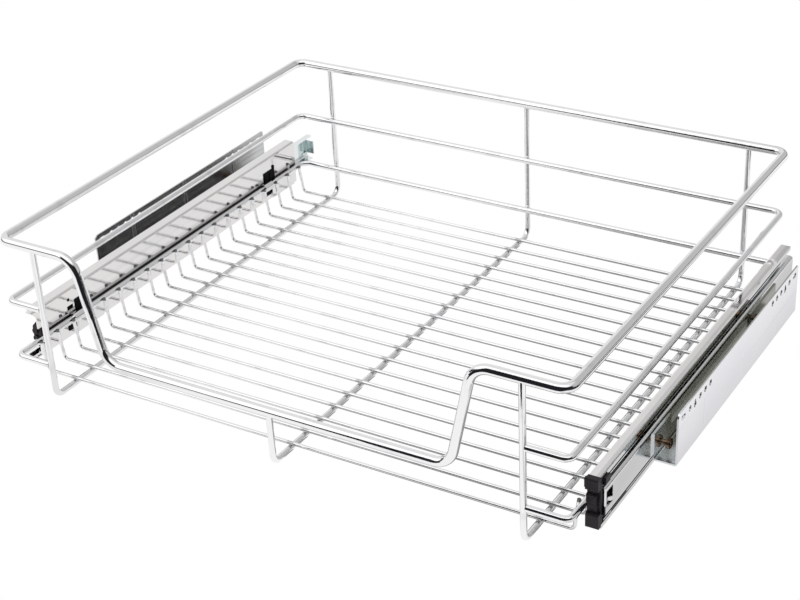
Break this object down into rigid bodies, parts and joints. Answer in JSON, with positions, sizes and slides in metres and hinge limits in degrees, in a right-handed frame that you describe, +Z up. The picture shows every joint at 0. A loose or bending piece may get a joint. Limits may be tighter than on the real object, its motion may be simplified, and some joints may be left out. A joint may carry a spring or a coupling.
{
  "type": "pull-out cabinet basket",
  "caption": "Wire basket with a dropped front that pulls out of a cabinet on two ball-bearing slides carried by sheet-metal spacer brackets.",
  "frame": {"origin": "middle of the outline in X and Y, on the surface the runner wires rest on", "axes": "+X to the right seen from the front, -Y towards the front that pulls out, +Z up"},
  "size_m": [0.5814, 0.458, 0.1434],
  "materials": {
    "chrome_wire": "bright chrome plated round wire",
    "chrome_plate": "bright plated sheet",
    "clip_plastic": "moulded black",
    "drawer_zinc": "bright zinc plated sheet, warm grey",
    "middle_zinc": "bright zinc plated sheet, bluish",
    "cabinet_zinc": "bright zinc plated sheet",
    "cage_steel": "rolled steel strip",
    "ball_steel": "polished bearing steel",
    "cap_plastic": "semi-gloss moulded black",
    "bracket_zinc": "satin zinc plated sheet",
    "brass_screw": "yellow passivated pan-head screw"
  },
  "bodies": {
    "cabinet_side": {"left_cabinet_member": "cabinet_zinc", "right_cabinet_member": "cabinet_zinc", "left_bracket": "bracket_zinc", "right_bracket": "bracket_zinc", "left_bracket_screws": "brass_screw", "right_bracket_screws": "brass_screw"},
    "basket": {"top_rim": "chrome_wire", "mid_rail": "chrome_wire", "low_rail": "chrome_wire", "left_runner": "chrome_wire", "centre_runner": "chrome_wire", "right_runner": "chrome_wire", "floor_wire_01": "chrome_wire", "floor_wire_02": "chrome_wire", "floor_wire_03": "chrome_wire", "floor_wire_04": "chrome_wire", "floor_wire_05": "chrome_wire", "floor_wire_06": "chrome_wire", "floor_wire_07": "chrome_wire", "floor_wire_08": "chrome_wire", "floor_wire_09": "chrome_wire", "floor_wire_10": "chrome_wire", "floor_wire_11": "chrome_wire", "floor_wire_12": "chrome_wire", "floor_wire_13": "chrome_wire", "floor_wire_14": "chrome_wire", "floor_wire_15": "chrome_wire", "floor_wire_16": "chrome_wire", "floor_wire_17": "chrome_wire", "floor_wire_18": "chrome_wire", "floor_wire_19": "chrome_wire", "floor_wire_20": "chrome_wire", "left_front_plate": "chrome_plate", "left_front_clip": "clip_plastic", "left_rear_plate": "chrome_plate", "left_rear_clip": "clip_plastic", "right_front_plate": "chrome_plate", "right_front_clip": "clip_plastic", "right_rear_plate": "chrome_plate", "right_rear_clip": "clip_plastic", "left_drawer_member": "drawer_zinc", "left_end_cap": "cap_plastic", "right_drawer_member": "drawer_zinc", "right_end_cap": "cap_plastic"},
    "left_intermediate": {"left_intermediate_member": "middle_zinc", "left_intermediate_stop": "cap_plastic"},
    "left_outer_bearing": {"left_outer_ball_cage": "cage_steel", "left_outer_balls": "ball_steel"},
    "left_inner_bearing": {"left_inner_ball_cage": "cage_steel", "left_inner_balls": "ball_steel"},
    "right_intermediate": {"right_intermediate_member": "middle_zinc", "right_intermediate_stop": "cap_plastic"},
    "right_outer_bearing": {"right_outer_ball_cage": "cage_steel", "right_outer_balls": "ball_steel"},
    "right_inner_bearing": {"right_inner_ball_cage": "cage_steel", "right_inner_balls": "ball_steel"}
  },
  "joints": [
    {"name": "basket_slide", "type": "slide", "parent": "cabinet_side", "child": "basket", "axis": [0, -1, 0], "range_m": [0, 0.35]},
    {"name": "left_intermediate_slide", "type": "slide", "parent": "cabinet_side", "child": "left_intermediate", "axis": [0, -1, 0], "range_m": [0, 0.175]},
    {"name": "left_outer_bearing_slide", "type": "slide", "parent": "cabinet_side", "child": "left_outer_bearing", "axis": [0, -1, 0], "range_m": [0, 0.2625]},
    {"name": "left_inner_bearing_slide", "type": "slide", "parent": "cabinet_side", "child": "left_inner_bearing", "axis": [0, -1, 0], "range_m": [0, 0.0875]},
    {"name": "right_intermediate_slide", "type": "slide", "parent": "cabinet_side", "child": "right_intermediate", "axis": [0, -1, 0], "range_m": [0, 0.175]},
    {"name": "right_outer_bearing_slide", "type": "slide", "parent": "cabinet_side", "child": "right_outer_bearing", "axis": [0, -1, 0], "range_m": [0, 0.2625]},
    {"name": "right_inner_bearing_slide", "type": "slide", "parent": "cabinet_side", "child": "right_inner_bearing", "axis": [0, -1, 0], "range_m": [0, 0.0875]}
  ],
  "couplings": [
    {"joint": "left_intermediate_slide", "follows": "basket_slide", "ratio": 0.5},
    {"joint": "left_outer_bearing_slide", "follows": "basket_slide", "ratio": 0.75},
    {"joint": "left_inner_bearing_slide", "follows": "basket_slide", "ratio": 0.25},
    {"joint": "right_intermediate_slide", "follows": "basket_slide", "ratio": 0.5},
    {"joint": "right_outer_bearing_slide", "follows": "basket_slide", "ratio": 0.75},
    {"joint": "right_inner_bearing_slide", "follows": "basket_slide", "ratio": 0.25}
  ]
}
